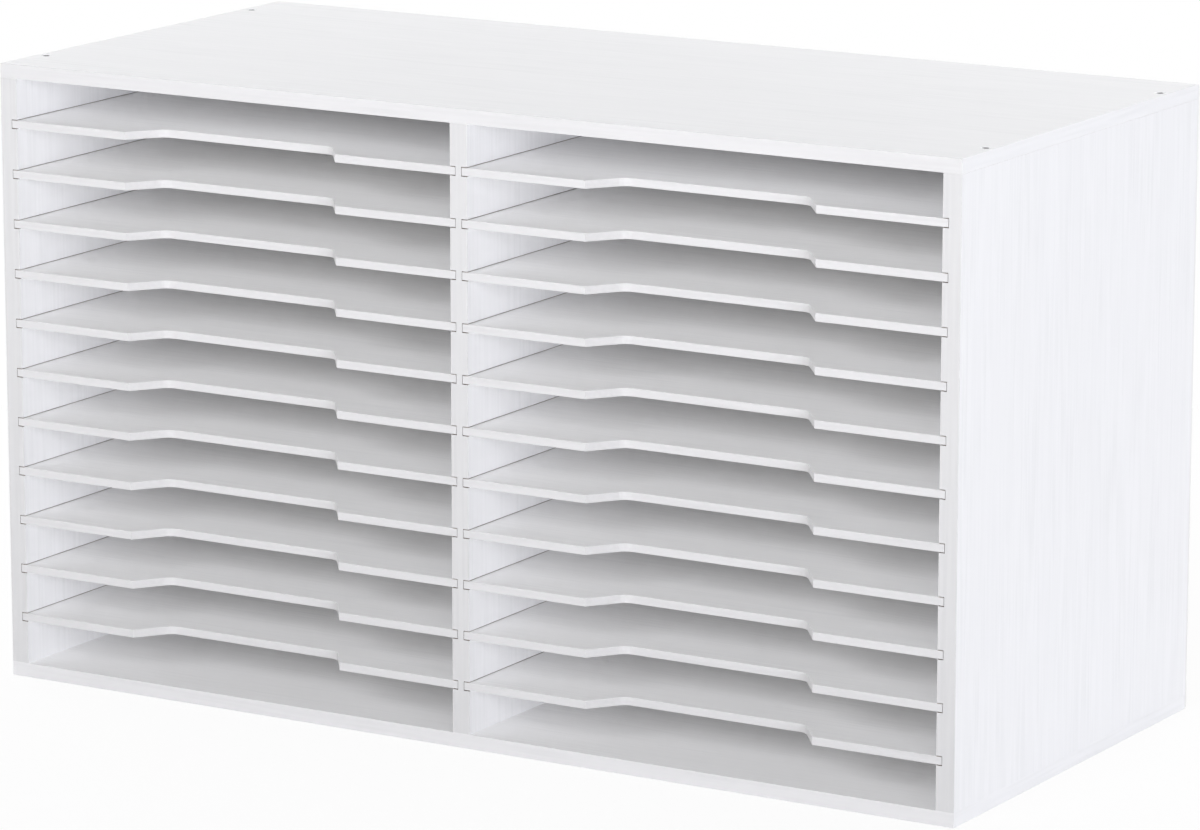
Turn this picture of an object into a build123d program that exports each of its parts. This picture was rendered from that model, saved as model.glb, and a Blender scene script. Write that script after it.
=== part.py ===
from build123d import *
import os

# Scrapbook paper organizer: two columns of slide-in shelves in a laminated board carcass. Millimetres.
# X runs across the front, Y from the open front to the back, Z up.
# The origin is under the middle of the carcass, on the surface that it stands on.

# Overall size
width = 670.0
depth = 309.5
height = 390.5

# Boards
panel_thickness = 9.0
side_thickness = 12.0
divider_thickness = 12.0
back_thickness = 3.0
back_inset = 0.5

# Thin edge bands on the boards' visible edges, with a rounded arris
band_thickness = 0.3
band_radius = 0.2

# Shelves, counted upwards, and the bays under the lowest and over the highest one
shelves_per_column = 11
shelf_thickness = 5.0
bottom_bay_height = 27.4
top_bay_height = 26.0
shelf_arris = 0.4

# Shelf grooves, open at the front and the rear
groove_depth = 4.0
shelf_face_clearance = 0.4
shelf_end_clearance = 0.35
shelf_rear_clearance = 0.5

# Finger notch in the front edge of each shelf
notch_front_width = 154.0
notch_back_width = 123.0
notch_depth = 21.0
notch_corner_radius = 9.0

# Countersunk wood screws
screw_length = 30.0
screw_diameter = 3.5
screw_core_diameter = 2.4
screw_head_diameter = 7.0
screw_head_rim = 0.4
screw_neck_length = 9.0
screw_tip_length = 4.0
screw_thread_pitch = 1.6
screw_sink = 0.3
screw_front_inset = 40.0
screw_rear_inset = 43.0
recess_span = 4.2
recess_slot_width = 1.1
recess_depth = 1.6
recess_taper = 12.0

# Dowels between the divider and the top panel
dowel_diameter = 6.0
dowel_length = 25.0
dowel_depth_in_panel = 6.0
dowel_chamfer = 0.8
dowel_inset = 60.0

# Nails through the back panel
nail_length = 16.0
nail_diameter = 1.4
nail_head_diameter = 3.2
nail_head_thickness = 0.6
nail_tip_length = 1.6
nails_per_side = 4
nails_per_panel = 5
shelves_per_divider_nail = 4

# Space left round each screw, dowel and nail in its hole
fastener_clearance = 0.05

# How far a cutter runs past the face that it opens
overrun = 2.0

# Places worked out from the sizes above
front = -depth / 2
rear = depth / 2
board_front = front + band_thickness
board_rear = rear - back_thickness
outer_face = width / 2
board_end = outer_face - band_thickness
side_face = outer_face - side_thickness
divider_face = divider_thickness / 2
floor_level = panel_thickness
ceiling_level = height - panel_thickness
side_centre = outer_face - side_thickness / 2
column_centre = (side_face + divider_face) / 2
shelf_length = side_face - divider_face + 2 * (groove_depth - shelf_end_clearance)
shelf_rear = board_rear - shelf_rear_clearance
lowest_shelf = floor_level + bottom_bay_height + shelf_thickness / 2
highest_shelf = ceiling_level - top_bay_height - shelf_thickness / 2
shelf_pitch = (highest_shelf - lowest_shelf) / (shelves_per_column - 1)
shelf_levels = [lowest_shelf + index * shelf_pitch for index in range(shelves_per_column)]


def block(x_limits, y_limits, z_limits):
    """A block between three pairs of limits, each pair in either order."""
    limits = [sorted(pair) for pair in (x_limits, y_limits, z_limits)]
    size = [high - low for low, high in limits]
    middle = [(high + low) / 2 for low, high in limits]
    return Pos(*middle) * Box(*size)


def groove_cutters(face, direction):
    """One wall's shelf grooves, cut into the face at x = face along direction, +1 or -1."""
    groove_half_height = shelf_thickness / 2 + shelf_face_clearance
    x_limits = (face - direction * overrun, face + direction * groove_depth)
    y_limits = (front - overrun, rear + overrun)
    return [
        block(x_limits, y_limits, (level - groove_half_height, level + groove_half_height))
        for level in shelf_levels
    ]


def panel(z_limits):
    """The core board of the top or the bottom panel."""
    return block((-board_end, board_end), (board_front, board_rear), z_limits)


def panel_front_band(z_limits):
    """The band along a panel's front edge, over its full width, round on all four front arrises."""
    band = block((-outer_face, outer_face), (front, board_front), z_limits)
    return fillet(band.faces().sort_by(Axis.Y)[0].edges(), band_radius)


def panel_end_band(side, z_limits):
    """The band on a panel's end at the left, -1, or the right, +1, round on its outer arrises."""
    band = block((side * board_end, side * outer_face), (board_front, board_rear), z_limits)
    outer = band.faces().sort_by(Axis.X)[0 if side < 0 else -1]
    return fillet(outer.edges().filter_by(Axis.Y), band_radius)


def upright(x_limits, grooves):
    """An upright board between the bottom and the top panel, with its grooves cut."""
    board = block(x_limits, (board_front, board_rear), (floor_level, ceiling_level))
    return board - grooves


def upright_band(x_limits, grooves):
    """The band on an upright's front edge. The grooves run through it."""
    band = block(x_limits, (front, board_front), (floor_level, ceiling_level))
    arrises = band.faces().sort_by(Axis.Y)[0].edges().filter_by(Axis.Z)
    return fillet(arrises, band_radius) - grooves


def shelf(centre, level):
    """One slide-in shelf. The notch's inner corners are round, and the whole front edge is eased."""
    notch_back = front + notch_depth
    outline = Polyline(
        (-shelf_length / 2, front),
        (-notch_front_width / 2, front),
        (-notch_back_width / 2, notch_back),
        (notch_back_width / 2, notch_back),
        (notch_front_width / 2, front),
        (shelf_length / 2, front),
        (shelf_length / 2, shelf_rear),
        (-shelf_length / 2, shelf_rear),
        close=True,
    )
    plan = make_face(outline)
    inner_corners = [
        corner for corner in plan.vertices()
        if abs(corner.X) < notch_front_width / 2 and corner.Y > front + notch_depth / 2
    ]
    plan = fillet(inner_corners, notch_corner_radius)
    plate = Pos(0, 0, -shelf_thickness / 2) * extrude(plan, shelf_thickness)
    rims = plate.faces().filter_by(Axis.Z).edges()
    front_rims = [rim for rim in rims if rim.center().Y < notch_back + shelf_arris]
    return Pos(centre, 0, level) * fillet(front_rims, shelf_arris)


def turned(points):
    """The solid turned about Z from its half profile, given as radius and height."""
    profile = Plane.XZ * Polyline(*points, close=True)
    return revolve(make_face(profile), Axis.Z)


def screw_thread_points():
    """Crests and roots of the thread below the screw's neck, as radius and height."""
    start = -screw_neck_length
    end = screw_tip_length - screw_length
    turns = int((start - end) / screw_thread_pitch)
    points = []
    for turn in range(turns):
        crest = start - (turn + 0.5) * screw_thread_pitch
        root = start - (turn + 1) * screw_thread_pitch
        points += [(screw_diameter / 2, crest), (screw_core_diameter / 2, root)]
    return points


def screw():
    """A countersunk wood screw, head up, with the flat of its head at height 0."""
    head_radius = screw_head_diameter / 2
    core_radius = screw_core_diameter / 2
    cone_height = head_radius - core_radius
    points = [(0, 0), (head_radius, 0), (head_radius, -screw_head_rim)]
    points += [(core_radius, -screw_head_rim - cone_height), (core_radius, -screw_neck_length)]
    points += screw_thread_points()
    points += [(0, -screw_length)]
    slot = Rectangle(recess_span, recess_slot_width)
    recess = extrude(slot + Rot(0, 0, 90) * slot, -recess_depth, taper=recess_taper)
    return turned(points) - recess


def screw_hole():
    """The hole for one screw: a countersink that takes the sunk head, and a straight bore."""
    head_radius = screw_head_diameter / 2 + fastener_clearance
    bore_radius = screw_diameter / 2 + fastener_clearance
    cone_height = head_radius - bore_radius
    points = [(0, overrun), (head_radius, overrun), (head_radius, -screw_head_rim)]
    points += [(bore_radius, -screw_head_rim - cone_height), (bore_radius, screw_tip_length - screw_length)]
    points += [(0, -screw_length - fastener_clearance)]
    return turned(points)


def screw_rows():
    """Y places of the front and the rear row of screws."""
    return (front + screw_front_inset, rear - screw_rear_inset)


def top_screw_places():
    """Places of the screws that go down into the side panels."""
    return [
        Pos(side * side_centre, row, height - screw_sink)
        for side in (-1, 1)
        for row in screw_rows()
    ]


def bottom_screw_places():
    """Places of the screws that go up into the side panels and the divider."""
    return [
        Pos(x, row, screw_sink) * Rot(180, 0, 0)
        for x in (-side_centre, 0, side_centre)
        for row in screw_rows()
    ]


def dowel():
    """A chamfered dowel about its middle."""
    peg = Cylinder(dowel_diameter / 2, dowel_length)
    return chamfer(peg.edges().filter_by(GeomType.CIRCLE), dowel_chamfer)


def dowel_hole():
    """The hole for one dowel, half in each board."""
    return Cylinder(dowel_diameter / 2 + fastener_clearance, dowel_length + 2 * fastener_clearance)


def dowel_places():
    """Places of the dowels across the joint of the divider and the top panel."""
    middle = ceiling_level + dowel_depth_in_panel - dowel_length / 2
    return [Pos(0, y, middle) for y in (front + dowel_inset, rear - dowel_inset)]


def nail_points(extra, top):
    """A nail's half profile, head up, grown by extra and with its head raised to top."""
    head_radius = nail_head_diameter / 2 + extra
    shank_radius = nail_diameter / 2 + extra
    return [
        (0, top),
        (head_radius, top),
        (head_radius, -nail_head_thickness - extra),
        (shank_radius, -nail_head_thickness - extra),
        (shank_radius, nail_tip_length - nail_length),
        (0, -nail_length - extra),
    ]


def evenly(low, high, count):
    """The middles of count equal stretches from low to high."""
    stretch = (high - low) / count
    return [low + (index + 0.5) * stretch for index in range(count)]


def nail_places():
    """Places of the nails in the rear edges of the sides, the divider and both panels."""
    web_centre = outer_face - (side_thickness - groove_depth) / 2
    points = [
        (side * web_centre, z)
        for side in (-1, 1)
        for z in evenly(floor_level, ceiling_level, nails_per_side)
    ]
    points += [
        (x, z)
        for x in evenly(-outer_face, outer_face, nails_per_panel)
        for z in (panel_thickness / 2, height - panel_thickness / 2)
    ]
    # The divider's nails go in half-way between two shelves, where no groove thins it.
    points += [(0, level + shelf_pitch / 2) for level in shelf_levels[1:-1:shelves_per_divider_nail]]
    return [Pos(x, rear, z) * Rot(-90, 0, 0) for x, z in points]


def copies(shape, places):
    """One separate copy of the shape at each place."""
    return [place * shape for place in places]


def back_panel():
    """The thin board over the whole rear, a little smaller than the carcass."""
    reach = outer_face - back_inset
    return block((-reach, reach), (board_rear, rear), (back_inset, height - back_inset))


screw_holes = copies(screw_hole(), top_screw_places() + bottom_screw_places())
dowel_holes = copies(dowel_hole(), dowel_places())
nail_holes = copies(turned(nail_points(fastener_clearance, overrun)), nail_places())

nodes = {}

# Top and bottom panels with their bands
panels = {"bottom_panel": (0, floor_level), "top_panel": (ceiling_level, height)}
for name, z_limits in panels.items():
    nodes[name] = panel(z_limits)
    nodes[name + "_front_band"] = panel_front_band(z_limits)
    nodes[name + "_left_band"] = panel_end_band(-1, z_limits)
    nodes[name + "_right_band"] = panel_end_band(1, z_limits)

# Side panels, the divider and their bands
uprights = {
    "left_side_panel": ((-outer_face, -side_face), groove_cutters(-side_face, -1)),
    "right_side_panel": ((side_face, outer_face), groove_cutters(side_face, 1)),
    "centre_divider": (
        (-divider_face, divider_face),
        groove_cutters(-divider_face, 1) + groove_cutters(divider_face, -1),
    ),
}
for name, (x_limits, grooves) in uprights.items():
    nodes[name] = upright(x_limits, grooves)
    nodes[name + "_front_band"] = upright_band(x_limits, grooves)

# Holes for the fasteners
nodes["back_panel"] = back_panel() - nail_holes
for name in [*panels, *uprights]:
    nodes[name] -= screw_holes + dowel_holes + nail_holes

# Fasteners
nodes["top_panel_screws"] = Compound(copies(screw(), top_screw_places()))
nodes["bottom_panel_screws"] = Compound(copies(screw(), bottom_screw_places()))
nodes["divider_dowels"] = Compound(copies(dowel(), dowel_places()))
nodes["back_panel_nails"] = Compound(copies(turned(nail_points(0, 0)), nail_places()))

# Shelves, numbered from the bottom
for column, centre in (("left", -column_centre), ("right", column_centre)):
    for number, level in enumerate(shelf_levels, start=1):
        nodes[f"{column}_shelf_{number:02d}"] = shelf(centre, level)

os.makedirs("parts", exist_ok=True)
for name, shape in nodes.items():
    export_step(shape, f"parts/{name}.step")
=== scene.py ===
import math

import bpy
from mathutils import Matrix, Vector


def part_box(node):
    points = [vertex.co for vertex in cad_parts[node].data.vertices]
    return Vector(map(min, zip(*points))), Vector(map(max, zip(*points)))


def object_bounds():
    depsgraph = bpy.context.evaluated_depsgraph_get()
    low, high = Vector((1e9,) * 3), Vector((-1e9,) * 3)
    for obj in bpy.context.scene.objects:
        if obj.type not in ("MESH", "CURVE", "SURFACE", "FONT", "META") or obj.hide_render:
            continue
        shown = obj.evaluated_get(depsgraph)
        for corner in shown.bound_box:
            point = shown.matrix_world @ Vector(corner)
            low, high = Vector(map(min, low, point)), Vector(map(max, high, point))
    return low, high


# A white laminated scrapbook paper organizer on a pale floor. Metres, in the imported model's frame:
# X runs across the open front, Y from the front to the back, Z up.
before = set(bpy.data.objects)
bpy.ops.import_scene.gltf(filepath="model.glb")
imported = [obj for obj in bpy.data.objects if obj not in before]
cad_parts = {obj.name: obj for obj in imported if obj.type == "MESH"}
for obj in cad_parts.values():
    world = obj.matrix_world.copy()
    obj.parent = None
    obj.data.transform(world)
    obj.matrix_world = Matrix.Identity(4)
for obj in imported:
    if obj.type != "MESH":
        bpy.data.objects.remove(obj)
cad_low, cad_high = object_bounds()

# Camera, at the photograph's viewing angle. Angles are in degrees.
CAMERA_AZIMUTH = 31.04
CAMERA_ELEVATION = 12.331
CAMERA_PLACE = (1.8504, -3.0671, 0.9597)
CAMERA_LENS = 177.7
CAMERA_SENSOR = 36.0
CAMERA_REACH = 60.0

# Floor, a hair below the object. The share of plain white in what is seen of it grows from the
# near to the far distance.
FLOOR_REACH = 15.0
FLOOR_GAP = 0.0002
FLOOR_COLOUR = (0.90, 0.90, 0.90)
FLOOR_ROUGHNESS = 0.8
FLOOR_WHITE_NEAR = 0.93
FLOOR_NEAR = 0.42
FLOOR_FAR = 0.95

# Lamps: azimuth and elevation seen from the object, distance, side, level and colour.
# The level is what a white surface that faces the lamp reads from it alone.
PLAIN_WHITE = (1.0, 1.0, 1.0)
FRONT_WHITE = (0.985, 0.990, 1.020)
REAR_WHITE = (0.995, 0.998, 1.012)
COOL_WHITE = (0.975, 0.985, 1.035)
LAMPS = {
    "front": (0.0, 20.0, 3.0, 1.6, 0.45, FRONT_WHITE),
    "right_front": (55.0, 5.0, 6.0, 2.1, 0.375, COOL_WHITE),
    "right": (110.0, 20.0, 2.6, 1.6, 0.14, COOL_WHITE),
    "left_rear": (-110.0, 25.0, 2.6, 1.6, 0.35, REAR_WHITE),
    "rear_high": (180.0, 45.0, 2.6, 1.4, 0.335, REAR_WHITE),
}
WORLD_LEVEL = 0.30

# A bright sheet on the floor, well in front: centre x and y, width and depth, and its own brightness.
# It lights the upper bays more than the lower ones.
SHEET_PLACE = (0.8, -3.0)
SHEET_SIZE = (6.0, 2.5)
SHEET_LEVEL = 2.2
FACE_UP = (math.pi, 0.0, 0.0)

# Light passes between the white faces of a bay many times before it gets out.
BAY_BOUNCES = 12

# White finishes: the plain tone and the tone of the printed grain. The bottom panel is a little lighter
# than the other boards: painted light. The uprights and end bands are a little lighter and bluer than the
# top:
# painted light. The front bands and the shelves' painted edges are far darker than the faces: painted shade,
# most on the uprights' fronts and least on the bottom panel's.
LAMINATE_WHITES = ((0.930, 0.928, 0.932), (0.880, 0.880, 0.885))
LIT_BOTTOM_WHITES = ((0.948, 0.945, 0.943), (0.898, 0.897, 0.896))
LIT_SIDE_WHITES = ((0.934, 0.934, 0.948), (0.876, 0.878, 0.890))
SHADED_FRONT_WHITES = ((0.684, 0.678, 0.680), (0.643, 0.637, 0.639))
SHADED_BOTTOM_FRONT_WHITES = ((0.740, 0.734, 0.737), (0.696, 0.690, 0.693))
SHADED_UPRIGHT_FRONT_WHITES = ((0.648, 0.643, 0.644), (0.609, 0.604, 0.605))
SHELF_WHITES = ((0.938, 0.935, 0.932), (0.886, 0.885, 0.886))
LACQUER_WHITE = (0.880, 0.880, 0.875)

# Wood and metal: dark and light tones
# Bare chipboard, far darker than it is: painted shade in the grooves and holes
SHADED_CHIP_TONES = ((0.09, 0.054, 0.03), (0.24, 0.155, 0.09))
FIBRE_TONES = ((0.24, 0.15, 0.08), (0.40, 0.27, 0.155))
BEECH_TONES = ((0.44, 0.27, 0.14), (0.62, 0.42, 0.25))
ZINC_TONES = ((0.72, 0.72, 0.73), (0.86, 0.86, 0.87))
NAIL_TONES = ((0.30, 0.29, 0.28), (0.56, 0.55, 0.54))
# Painted shade on the shelves' ends where they run in the grooves, streaked along them
GROOVE_SHADE = (0.46, 0.40, 0.34)
# Near-black painted shade in the screws' recesses and on a disc round them
RECESS_SHADE = (0.010, 0.010, 0.010)

# Streaks of noise: width, length, detail, and a shift that keeps them apart
STREAKS = {
    "grain_line": (0.0022, 0.06, 0.5, 0.0),
    "grain_cluster": (0.011, 0.07, 1.0, 3.1),
    "grain_pore": (0.0003, 0.008, 0.0, 11.7),
    "wood_chip": (0.0018, 0.0006, 1.0, 1.9),
    "band_scratch": (0.00015, 0.02, 0.0, 5.2),
    "groove_shade_streaks": (0.0006, 0.03, 0.0, 7.3),
    "beech_grain": (0.0005, 0.02, 2.0, 0.0),
    "beech_fleck": (0.0003, 0.002, 2.0, 4.4),
}
# Even noise: size of its spots, and detail
SPECKLES = {
    "sheen_cloud": (0.015, 0.0),
    "cut_fibre": (0.0004, 1.0),
    "board_mottle": (0.03, 3.0),
    "board_fibre": (0.0006, 5.0),
    "zinc_cloud": (0.002, 3.0),
    "zinc_marks": (0.002 / 6, 4.0),
    "nail_cloud": (0.001, 3.0),
    "nail_marks": (0.001 / 6, 4.0),
}

# Stretches of noise, from where a pattern begins to where it is full
CLUSTER_NOISE = (0.40, 0.62)
LINE_NOISE = (0.30, 0.70)
PORE_NOISE = (0.62, 0.76)
CHIP_NOISE = (0.3, 0.7)
SCRATCH_NOISE = (0.45, 0.7)
GROOVE_SHADE_NOISE = (0.2, 0.8)
PLATING_NOISE = (0.35, 0.65)
FLECK_NOISE = (0.6, 0.7)

# Wood print: the lines' strength outside their clusters, what lines and pores give to its tone,
# and the pores' depth next to the lines'
LINES_BETWEEN = 0.25
LINE_TONE = 1.0
TONE_START = -0.25
PORE_TONE = 0.25
PORE_DEPTH = 0.8

# Shares of other patterns in their finishes
CUT_FIBRE_SHARE = 0.7
CUT_FIBRE_START = 0.15
# Painted highlight on the bands' arrises
ARRIS_HIGHLIGHT_SHARE = 0.6
GROOVE_SHADE_SHARES = (0.6, 1.0)
BOARD_FIBRE_SHARE = 0.6
BOARD_MOTTLE_SHARE = 0.4
SCREEN_SHARE = 0.08
SCREEN_RELIEF_SHARE = 0.5
LACQUER_RELIEF_SHARE = 0.15
FLECK_SHARE = 0.4

# Roughness: each finish's least one, and what its patterns add
PRINT_ROUGHNESS = 0.50
LINE_ROUGHNESS = 0.06
CLOUD_ROUGHNESS = 0.08
RAW_ROUGHNESS = 0.45
SCRAPED_ROUGHNESS = -0.12
SCRATCH_ROUGHNESS = 0.08
SHELF_ARRIS_ROUGHNESS = -0.10
BOARD_ROUGHNESS = 0.66
MOTTLE_ROUGHNESS = 0.12
LACQUER_ROUGHNESS = -0.24
STEEL_ROUGHNESS = 0.22
MARK_ROUGHNESS = 0.25
BEECH_ROUGHNESS = 0.55
BEECH_GRAIN_ROUGHNESS = 0.15

# Depths of relief, and the pitch of the screen pattern behind the rear board
PRINT_RELIEF = 0.00003
BAND_RELIEF = 0.00002
BOARD_RELIEF = 0.00008
STEEL_RELIEF = 0.00001
BEECH_RELIEF = 0.00003
SCREEN_PITCH = 0.0016

# The normal's largest part where an arris begins and where it is full, and the normal's upright part
# where a shelf's face ends and its edge is full
ARRIS_NORMAL = (0.98, 0.75)
EDGE_NORMAL = (0.75, 0.60)

# How far a cut face lies behind a finished one to count as raw, and the white rim round a screw's hole
FACE_SKIN = 0.0001
HOLE_RIM = 0.0003

# Screws: how far below the flat of a head the painted shade begins,
# and the radii of the head and of the painted shade on it
SCREW_SKIN = 0.00002
SCREW_HEAD_RADIUS = 0.0035
SCREW_SHADE_RADIUS = 0.0021


def rgba(colour):
    """A colour with full alpha."""
    return (*colour, 1.0)


def add(tree, kind, sockets=(), **settings):
    """A new node. Each socket in sockets gets a constant or the output of another node."""
    made = tree.nodes.new("ShaderNode" + kind)
    for name, value in settings.items():
        setattr(made, name, value)
    for key, value in dict(sockets).items():
        if isinstance(value, bpy.types.NodeSocket):
            tree.links.new(value, made.inputs[key])
        else:
            made.inputs[key].default_value = value
    return made


def maths(tree, operation, *values):
    """The result of one Math node."""
    return add(tree, "Math", enumerate(values), operation=operation).outputs[0]


def plus(tree, base, value, share):
    """The base and a share of the value. Only the value has to be a socket."""
    return maths(tree, "MULTIPLY_ADD", value, share, base)


def spread(tree, value, low, high, out_low=0.0, out_high=1.0):
    """The value's stretch from low to high, spread between the two outputs and held there."""
    limits = {"Value": value, "From Min": low, "From Max": high, "To Min": out_low, "To Max": out_high}
    return add(tree, "MapRange", limits, clamp=True).outputs["Result"]


def between(tree, value, low, high):
    """1 where the value lies between low and high, otherwise 0."""
    return maths(tree, "COMPARE", value, (low + high) / 2, (high - low) / 2)


def unsigned(tree, value):
    """The value without its sign."""
    return maths(tree, "ABSOLUTE", value)


def mix(tree, share, first, second):
    """Two colours mixed by share."""
    made = add(tree, "Mix", data_type="RGBA")
    colours = [socket for socket in made.inputs if socket.type == "RGBA"]
    result = [socket for socket in made.outputs if socket.type == "RGBA"][0]
    for socket, value in zip([made.inputs[0], *colours], (share, first, second)):
        if isinstance(value, bpy.types.NodeSocket):
            tree.links.new(value, socket)
        else:
            socket.default_value = rgba(value) if socket.type == "RGBA" else value
    return result


def place_of(tree):
    """The point's place on its piece, as one vector and as its X, Y and Z."""
    place = add(tree, "TexCoord").outputs["Object"]
    return place, add(tree, "SeparateXYZ", {0: place}).outputs


def normal_of(tree):
    """The X, Y and Z of the surface's normal."""
    return add(tree, "SeparateXYZ", {0: add(tree, "NewGeometry").outputs["Normal"]}).outputs


def streaks(tree, place, axis, kind):
    """Noise from 0 to 1, drawn out along the axis into one kind of streaks."""
    width, length, detail, shift = STREAKS[kind]
    scale = [1 / width] * 3
    scale["XYZ".index(axis)] = 1 / length
    drawn = add(tree, "Mapping", {"Vector": place, "Location": (shift,) * 3, "Scale": scale})
    noise = {"Vector": drawn.outputs[0], "Scale": 1.0, "Detail": detail}
    return add(tree, "TexNoise", noise).outputs["Fac"]


def speckle(tree, place, kind):
    """Even noise from 0 to 1 of one kind."""
    size, detail = SPECKLES[kind]
    return add(tree, "TexNoise", {"Vector": place, "Scale": 1 / size, "Detail": detail}).outputs["Fac"]


def arris(tree):
    """0 on flat faces, up to 1 half-way round the eased arris between two of them."""
    x, y, z = (unsigned(tree, part) for part in normal_of(tree))
    largest = maths(tree, "MAXIMUM", x, maths(tree, "MAXIMUM", y, z))
    return spread(tree, largest, *ARRIS_NORMAL)


def shelf_arris(tree):
    """0 on a shelf's faces and round its outline, up to 1 half-way round the arris between them."""
    level = unsigned(tree, normal_of(tree)["Z"])
    upright = maths(tree, "SQRT", maths(tree, "SUBTRACT", 1.0, maths(tree, "MULTIPLY", level, level)))
    return spread(tree, maths(tree, "MAXIMUM", level, upright), *ARRIS_NORMAL)


def new_material(name):
    """An empty node material with its Principled shader."""
    material = bpy.data.materials.new(name)
    material.use_nodes = True
    tree = material.node_tree
    shader = next(node for node in tree.nodes if node.type == "BSDF_PRINCIPLED")
    return material, tree, shader


def finish_shader(tree, shader, colour, roughness, height, depth):
    """Gives the shader its colour, its roughness, and a relief of that depth."""
    bump = add(tree, "Bump", {"Height": height, "Distance": depth, "Strength": 1.0})
    tree.links.new(colour, shader.inputs["Base Color"])
    tree.links.new(roughness, shader.inputs["Roughness"])
    tree.links.new(bump.outputs[0], shader.inputs["Normal"])


def wood_print(tree, place, axis, whites):
    """The printed and embossed wood grain of a white face: its colour, roughness and height."""
    line = spread(tree, streaks(tree, place, axis, "grain_line"), *LINE_NOISE, -0.5, 0.5)
    cluster = spread(tree, streaks(tree, place, axis, "grain_cluster"), *CLUSTER_NOISE)
    pore = spread(tree, streaks(tree, place, axis, "grain_pore"), *PORE_NOISE)
    pore = maths(tree, "MULTIPLY", pore, cluster)
    strength = plus(tree, LINES_BETWEEN, cluster, 1 - LINES_BETWEEN)
    lines = plus(tree, 0.5, line, strength)
    tone = plus(tree, plus(tree, TONE_START, lines, LINE_TONE), pore, PORE_TONE)
    height = maths(tree, "SUBTRACT", 1.0, plus(tree, lines, pore, PORE_DEPTH))
    roughness = plus(tree, PRINT_ROUGHNESS, lines, LINE_ROUGHNESS)
    roughness = plus(tree, roughness, speckle(tree, place, "sheen_cloud"), CLOUD_ROUGHNESS)
    return mix(tree, tone, *whites), roughness, height


def shaded_chipboard(tree, place):
    """Pressed wood chips where a board is cut, kept far darker than bare chips: painted shade in the grooves
    and holes.
    """
    return mix(tree, spread(tree, streaks(tree, place, "Z", "wood_chip"), *CHIP_NOISE), *SHADED_CHIP_TONES)


def fibreboard(tree, place):
    """Fine pressed wood fibre where a thin board is cut."""
    share = plus(tree, CUT_FIBRE_START, speckle(tree, place, "cut_fibre"), CUT_FIBRE_SHARE)
    return mix(tree, share, *FIBRE_TONES)


def laminate(name, axis, whites, raw_share):
    """Laminated board, with the grain along axis and bare chips, darkened with painted shade, where
    raw_share(tree, where) is 1.
    """
    material, tree, shader = new_material(name)
    place, where = place_of(tree)
    colour, roughness, height = wood_print(tree, place, axis, whites)
    raw = raw_share(tree, where)
    colour = mix(tree, raw, colour, shaded_chipboard(tree, place))
    roughness = plus(tree, roughness, raw, RAW_ROUGHNESS)
    finish_shader(tree, shader, colour, roughness, height, PRINT_RELIEF)
    return material


def edge_band(name, axis, whites):
    """The plastic band on the boards' edges, scraped smooth round its arrises and lighter there, a painted
    highlight.
    """
    material, tree, shader = new_material(name)
    place, _ = place_of(tree)
    colour, roughness, height = wood_print(tree, place, axis, whites)
    scraped_and_highlight = arris(tree)
    scratch = spread(tree, streaks(tree, place, axis, "band_scratch"), *SCRATCH_NOISE)
    # Painted highlight: the arrises are mixed towards the faces' white.
    colour = mix(tree, maths(tree, "MULTIPLY", scraped_and_highlight, ARRIS_HIGHLIGHT_SHARE), colour, LAMINATE_WHITES[0])
    roughness = plus(tree, roughness, scraped_and_highlight, SCRAPED_ROUGHNESS)
    roughness = plus(tree, roughness, scratch, SCRATCH_ROUGHNESS)
    finish_shader(tree, shader, colour, roughness, height, BAND_RELIEF)
    return material


def in_grooves(tree, where):
    """1 on the ends of a shelf that run in the grooves."""
    out = unsigned(tree, where["X"])
    open_share = between(tree, out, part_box("centre_divider")[1].x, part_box("right_side_panel")[0].x)
    return maths(tree, "SUBTRACT", 1.0, open_share)


def shelf_board(name):
    """A thin shelf: white faces with painted shade where they run in the grooves, painted edges darkened
    with painted shade, and a bare rear one.
    """
    material, tree, shader = new_material(name)
    place, where = place_of(tree)
    colour, roughness, height = wood_print(tree, place, "X", SHELF_WHITES)
    # Painted shade where the shelf runs in the grooves, streaked along its depth
    groove_shade = spread(tree, streaks(tree, place, "Y", "groove_shade_streaks"), *GROOVE_SHADE_NOISE, *GROOVE_SHADE_SHARES)
    colour = mix(tree, maths(tree, "MULTIPLY", in_grooves(tree, where), groove_shade), colour, GROOVE_SHADE)
    # Painted shade: the shelves' painted edges take the darkened front whites.
    edge_paint_and_shade = mix(tree, spread(tree, height, 0.0, 1.0), *reversed(SHADED_FRONT_WHITES))
    edge = spread(tree, unsigned(tree, normal_of(tree)["Z"]), *EDGE_NORMAL)
    colour = mix(tree, edge, colour, edge_paint_and_shade)
    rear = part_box("right_shelf_01")[1].y
    raw = maths(tree, "GREATER_THAN", where["Y"], rear - FACE_SKIN)
    colour = mix(tree, raw, colour, fibreboard(tree, place))
    roughness = plus(tree, roughness, shelf_arris(tree), SHELF_ARRIS_ROUGHNESS)
    roughness = plus(tree, roughness, raw, RAW_ROUGHNESS)
    finish_shader(tree, shader, colour, roughness, height, PRINT_RELIEF)
    return material


def lacquered_share(tree, where):
    """1 on the rear board's inner face and round its edges, 0 behind it."""
    low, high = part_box("back_panel")
    inner_face = maths(tree, "LESS_THAN", where["Y"], low.y + FACE_SKIN)
    end = maths(tree, "GREATER_THAN", unsigned(tree, where["X"]), high.x - FACE_SKIN)
    level = unsigned(tree, maths(tree, "SUBTRACT", where["Z"], (low.z + high.z) / 2))
    edge = maths(tree, "GREATER_THAN", level, (high.z - low.z) / 2 - FACE_SKIN)
    return maths(tree, "MAXIMUM", inner_face, maths(tree, "MAXIMUM", end, edge))


def screen_pattern(tree, where):
    """The woven screen's print, from -1 to 1, that pressing leaves behind a hardboard."""
    waves = (maths(tree, "MULTIPLY", where[axis], 2 * math.pi / SCREEN_PITCH) for axis in "XZ")
    return maths(tree, "MULTIPLY", *(maths(tree, "SINE", wave) for wave in waves))


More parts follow.
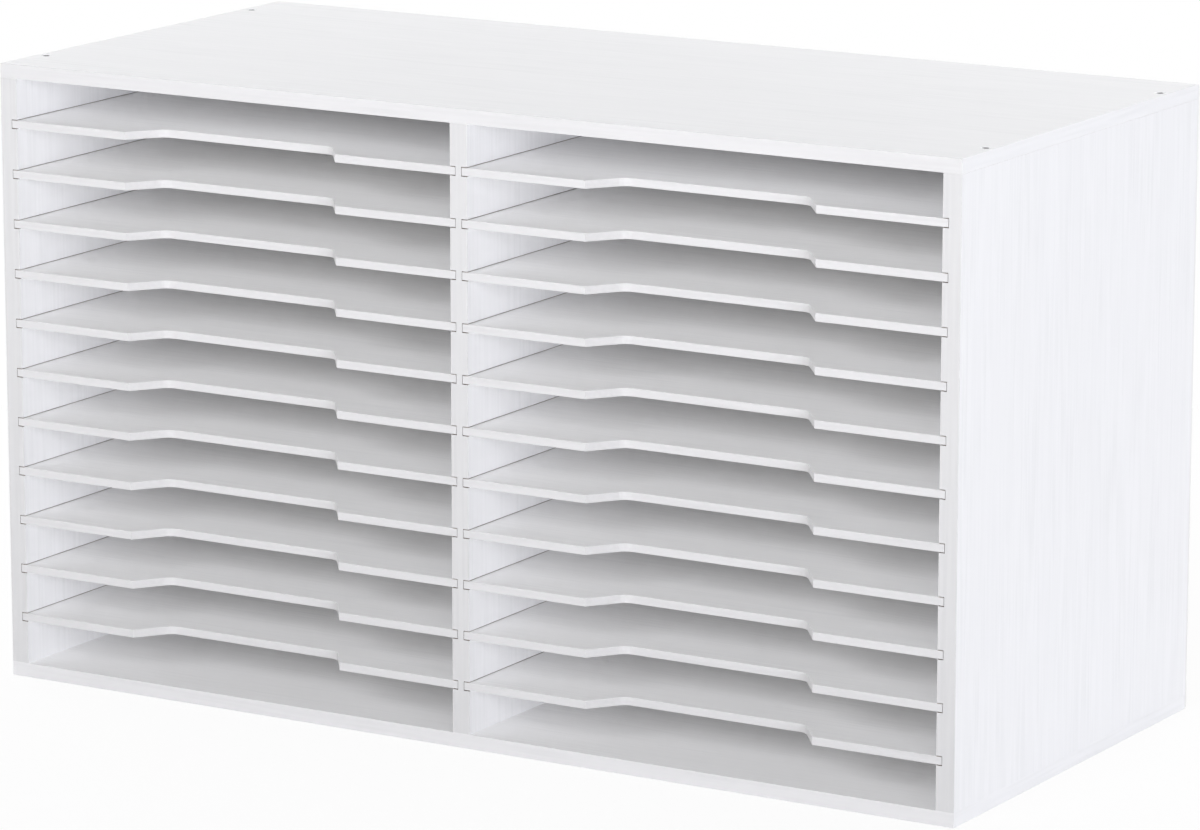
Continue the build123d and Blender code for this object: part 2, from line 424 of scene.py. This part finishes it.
def hardboard(name):
    """The thin rear board: white inside and round its edges, and bare brown fibre behind."""
    material, tree, shader = new_material(name)
    place, where = place_of(tree)
    lacquered = lacquered_share(tree, where)
    screen = screen_pattern(tree, where)
    mottle = speckle(tree, place, "board_mottle")
    fibre = speckle(tree, place, "board_fibre")
    share = plus(tree, maths(tree, "MULTIPLY", mottle, BOARD_MOTTLE_SHARE), fibre, BOARD_FIBRE_SHARE)
    share = plus(tree, share, screen, SCREEN_SHARE)
    colour = mix(tree, lacquered, mix(tree, share, *FIBRE_TONES), LACQUER_WHITE)
    roughness = plus(tree, BOARD_ROUGHNESS, mottle, MOTTLE_ROUGHNESS)
    roughness = plus(tree, roughness, lacquered, LACQUER_ROUGHNESS)
    relief = plus(tree, fibre, screen, SCREEN_RELIEF_SHARE)
    relief = maths(tree, "MULTIPLY", relief, spread(tree, lacquered, 0.0, 1.0, 1.0, LACQUER_RELIEF_SHARE))
    finish_shader(tree, shader, colour, roughness, relief, BOARD_RELIEF)
    return material


def steel(name, metal, tones, painted_shade=None):
    """Steel with cloudy tones and fine turning marks, and near-black painted shade where the given mask is
    1.
    """
    material, tree, shader = new_material(name)
    place, where = place_of(tree)
    marks = speckle(tree, place, metal + "_marks")
    colour = mix(tree, spread(tree, speckle(tree, place, metal + "_cloud"), *PLATING_NOISE), *tones)
    if painted_shade:
        colour = mix(tree, painted_shade(tree, where), colour, RECESS_SHADE)
    roughness = plus(tree, STEEL_ROUGHNESS, marks, MARK_ROUGHNESS)
    finish_shader(tree, shader, colour, roughness, marks, STEEL_RELIEF)
    shader.inputs["Metallic"].default_value = 1.0
    return material


def beech(name):
    """Turned beech with its short darker flecks, upright."""
    material, tree, shader = new_material(name)
    place, _ = place_of(tree)
    grain = streaks(tree, place, "Z", "beech_grain")
    fleck = spread(tree, streaks(tree, place, "Z", "beech_fleck"), *FLECK_NOISE)
    colour = mix(tree, plus(tree, grain, fleck, -FLECK_SHARE), *BEECH_TONES)
    roughness = plus(tree, BEECH_ROUGHNESS, grain, BEECH_GRAIN_ROUGHNESS)
    finish_shader(tree, shader, colour, roughness, grain, BEECH_RELIEF)
    return material


def raw_in_sides(tree, where):
    """Inside the side panels' grooves and holes, behind both faces."""
    low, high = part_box("right_side_panel")
    return between(tree, unsigned(tree, where["X"]), low.x + FACE_SKIN, high.x - FACE_SKIN)


def raw_in_divider(tree, where):
    """Inside the divider's grooves and holes."""
    _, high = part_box("centre_divider")
    return maths(tree, "LESS_THAN", unsigned(tree, where["X"]), high.x - FACE_SKIN)


def raw_in_panels(tree, where):
    """Inside the holes of the top and the bottom panel, which lie alike about half height."""
    low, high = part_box("top_panel")
    middle = (cad_low.z + cad_high.z) / 2
    away = unsigned(tree, maths(tree, "SUBTRACT", where["Z"], middle))
    return between(tree, away, low.z - middle + HOLE_RIM, high.z - middle - HOLE_RIM)


def screw_recess_shade(tree, where):
    """Near-black painted shade behind the flats of the screws' heads, and on a disc round the drive recesses
    in them.
    """
    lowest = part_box("bottom_panel_screws")[0].z
    low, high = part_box("top_panel_screws")
    behind = between(tree, where["Z"], lowest + SCREW_SKIN, high.z - SCREW_SKIN)
    out = unsigned(tree, where["X"])
    from_sides = unsigned(tree, maths(tree, "SUBTRACT", out, high.x - SCREW_HEAD_RADIUS))
    away_x = maths(tree, "MINIMUM", out, from_sides)
    from_middle = unsigned(tree, maths(tree, "SUBTRACT", where["Y"], (low.y + high.y) / 2))
    away_y = maths(tree, "SUBTRACT", from_middle, (high.y - low.y) / 2 - SCREW_HEAD_RADIUS)
    square = plus(tree, maths(tree, "MULTIPLY", away_y, away_y), away_x, away_x)
    near = maths(tree, "LESS_THAN", square, SCREW_SHADE_RADIUS ** 2)
    return maths(tree, "MAXIMUM", behind, near)


def dress(nodes, material):
    """Gives the CAD nodes one material."""
    for name in nodes:
        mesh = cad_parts[name].data
        mesh.materials.clear()
        mesh.materials.append(material)


def dress_boards():
    """The carcass's boards and their edge bands."""
    sides = ["left_side_panel", "right_side_panel"]
    panels = ["top_panel", "bottom_panel"]
    # The uprights' and end bands' whites carry painted light, lighter and bluer than the top's; so do the
    # bottom panel's.
    dress(sides, laminate("laminate_sides", "Z", LIT_SIDE_WHITES, raw_in_sides))
    dress(["centre_divider"], laminate("laminate_divider", "Z", LIT_SIDE_WHITES, raw_in_divider))
    dress(["top_panel"], laminate("laminate_top", "X", LAMINATE_WHITES, raw_in_panels))
    dress(["bottom_panel"], laminate("laminate_bottom", "X", LIT_BOTTOM_WHITES, raw_in_panels))
    upright_bands = [name + "_front_band" for name in (*sides, "centre_divider")]
    end_bands = [f"{panel}_{side}_band" for panel in panels for side in ("left", "right")]
    # The front bands' whites are far darker than the faces': painted shade, least on the bottom panel's.
    dress(upright_bands, edge_band("band_upright", "Z", SHADED_UPRIGHT_FRONT_WHITES))
    dress(["top_panel_front_band"], edge_band("band_top", "X", SHADED_FRONT_WHITES))
    dress(["bottom_panel_front_band"], edge_band("band_bottom", "X", SHADED_BOTTOM_FRONT_WHITES))
    dress(end_bands, edge_band("band_ends", "Y", LIT_SIDE_WHITES))


def dress_all():
    """Every node's finish."""
    dress_boards()
    dress([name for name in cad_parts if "_shelf_" in name], shelf_board("shelf_board"))
    dress(["back_panel"], hardboard("hardboard"))
    screws = ["top_panel_screws", "bottom_panel_screws"]
    dress(screws, steel("zinc_steel", "zinc", ZINC_TONES, screw_recess_shade))
    dress(["back_panel_nails"], steel("nail_steel", "nail", NAIL_TONES))
    dress(["divider_dowels"], beech("beech"))


def direction(azimuth, elevation):
    """The unit vector from the object towards an azimuth and an elevation. Azimuth 0 is in front."""
    a, e = math.radians(azimuth), math.radians(elevation)
    return Vector((math.sin(a) * math.cos(e), -math.cos(a) * math.cos(e), math.sin(e)))


def facing(vector):
    """The rotation that turns a camera or a lamp along the vector."""
    return vector.to_track_quat("-Z", "Y").to_euler()


def place_object(name, data, place, rotation):
    """A new object in the scene, at that place and rotation."""
    made = bpy.data.objects.new(name, data)
    made.location = place
    made.rotation_euler = rotation
    bpy.context.scene.collection.objects.link(made)
    return made


def make_camera():
    """The camera, level and without shift or depth of field."""
    data = bpy.data.cameras.new("camera")
    data.sensor_width = CAMERA_SENSOR
    data.lens = CAMERA_LENS
    data.clip_end = CAMERA_REACH
    ahead = -direction(CAMERA_AZIMUTH, CAMERA_ELEVATION)
    bpy.context.scene.camera = place_object("camera", data, CAMERA_PLACE, facing(ahead))


def make_lamp(name, azimuth, elevation, distance, side, level, colour):
    """A square soft lamp that faces the object's middle."""
    data = bpy.data.lights.new(name, "AREA")
    data.shape = "SQUARE"
    data.size = side
    data.color = colour
    data.energy = level * (math.pi * distance) ** 2
    towards = direction(azimuth, elevation)
    place_object(name, data, (cad_low + cad_high) / 2 + towards * distance, facing(-towards))


def make_sheet():
    """The bright sheet's light, which goes up from the floor in front and isn't seen itself."""
    data = bpy.data.lights.new("front_sheet", "AREA")
    data.shape = "RECTANGLE"
    data.size, data.size_y = SHEET_SIZE
    data.energy = SHEET_LEVEL * math.pi * data.size * data.size_y
    sheet = place_object("front_sheet", data, (*SHEET_PLACE, cad_low.z), FACE_UP)
    sheet.visible_camera = False


def seen_plainly(tree):
    """1 for rays that show the background: from the camera, and through gloss or glass."""
    path = add(tree, "LightPath").outputs
    seen = maths(tree, "MAXIMUM", path["Is Glossy Ray"], path["Is Transmission Ray"])
    return maths(tree, "MAXIMUM", path["Is Camera Ray"], seen)


def make_world():
    """White for the background, and an even light of the world's level on everything else."""
    world = bpy.data.worlds.new("studio")
    world.use_nodes = True
    tree = world.node_tree
    background = next(node for node in tree.nodes if node.type == "BACKGROUND")
    background.inputs["Color"].default_value = rgba(PLAIN_WHITE)
    level = spread(tree, seen_plainly(tree), 0.0, 1.0, WORLD_LEVEL, 1.0)
    tree.links.new(level, background.inputs["Strength"])
    bpy.context.scene.world = world


def floor_material():
    """A pale floor that shows nearly white and keeps the object's shadow."""
    material, tree, shader = new_material("pale_floor")
    shader.inputs["Base Color"].default_value = rgba(FLOOR_COLOUR)
    shader.inputs["Roughness"].default_value = FLOOR_ROUGHNESS
    white = add(tree, "Emission", {"Color": rgba(PLAIN_WHITE), "Strength": 1.0})
    place, _ = place_of(tree)
    away = add(tree, "VectorMath", {0: place}, operation="LENGTH").outputs["Value"]
    white_share = spread(tree, away, FLOOR_NEAR, FLOOR_FAR, FLOOR_WHITE_NEAR, 1.0)
    share = maths(tree, "MULTIPLY", seen_plainly(tree), white_share)
    mixed = add(tree, "MixShader", {0: share, 1: shader.outputs[0], 2: white.outputs[0]})
    output = next(node for node in tree.nodes if node.type == "OUTPUT_MATERIAL")
    tree.links.new(mixed.outputs[0], output.inputs["Surface"])
    return material


def make_floor():
    """A wide level floor."""
    mesh = bpy.data.meshes.new("floor")
    level = cad_low.z - FLOOR_GAP
    turns = ((-1, -1), (1, -1), (1, 1), (-1, 1))
    mesh.from_pydata([(x * FLOOR_REACH, y * FLOOR_REACH, level) for x, y in turns], [], [(0, 1, 2, 3)])
    mesh.materials.append(floor_material())
    floor = bpy.data.objects.new("floor", mesh)
    bpy.context.scene.collection.objects.link(floor)


make_camera()
make_world()
make_floor()
for lamp_name, lamp_values in LAMPS.items():
    make_lamp(lamp_name, *lamp_values)
make_sheet()
dress_all()
bpy.context.scene.view_settings.view_transform = "Standard"
bpy.context.scene.cycles.diffuse_bounces = BAY_BOUNCES
